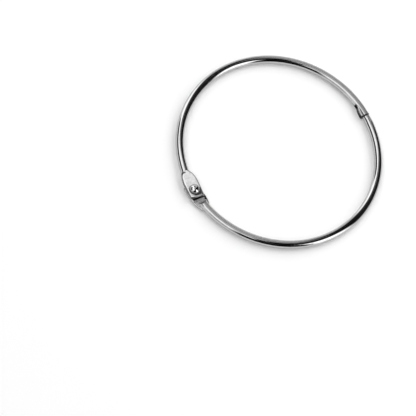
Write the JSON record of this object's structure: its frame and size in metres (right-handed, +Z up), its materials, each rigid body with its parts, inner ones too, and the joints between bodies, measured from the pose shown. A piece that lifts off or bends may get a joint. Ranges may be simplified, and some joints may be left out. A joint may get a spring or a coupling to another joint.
{
  "type": "hinged binder ring",
  "caption": "Hinged loose-leaf ring: bent wire halves with a riveted leaf hinge and a toothed snap clasp, for holding punched sheets, cards or tags together.",
  "frame": {"origin": "centre of the closed ring, on the surface that it lies on", "axes": "+Z up, along the ring's axis and the rivet; +X from the rivet towards the clasp; +Y towards the catch half"},
  "size_m": [0.0842, 0.0828, 0.0048],
  "materials": {
    "plated_wire": "bright nickel plate on drawn steel wire, pressed faces a little satin",
    "plated_rivet": "bright nickel plate, polished ball head"
  },
  "bodies": {
    "catch_side": {"catch_half": "plated_wire", "rivet": "plated_rivet"},
    "latch_side": {"latch_half": "plated_wire"}
  },
  "joints": [
    {"name": "leaf_hinge", "type": "hinge", "parent": "catch_side", "child": "latch_side", "pos_m": [-0.03975, 0, 0.00165], "axis": [0, 0, -1], "range_deg": [0, 140]}
  ]
}
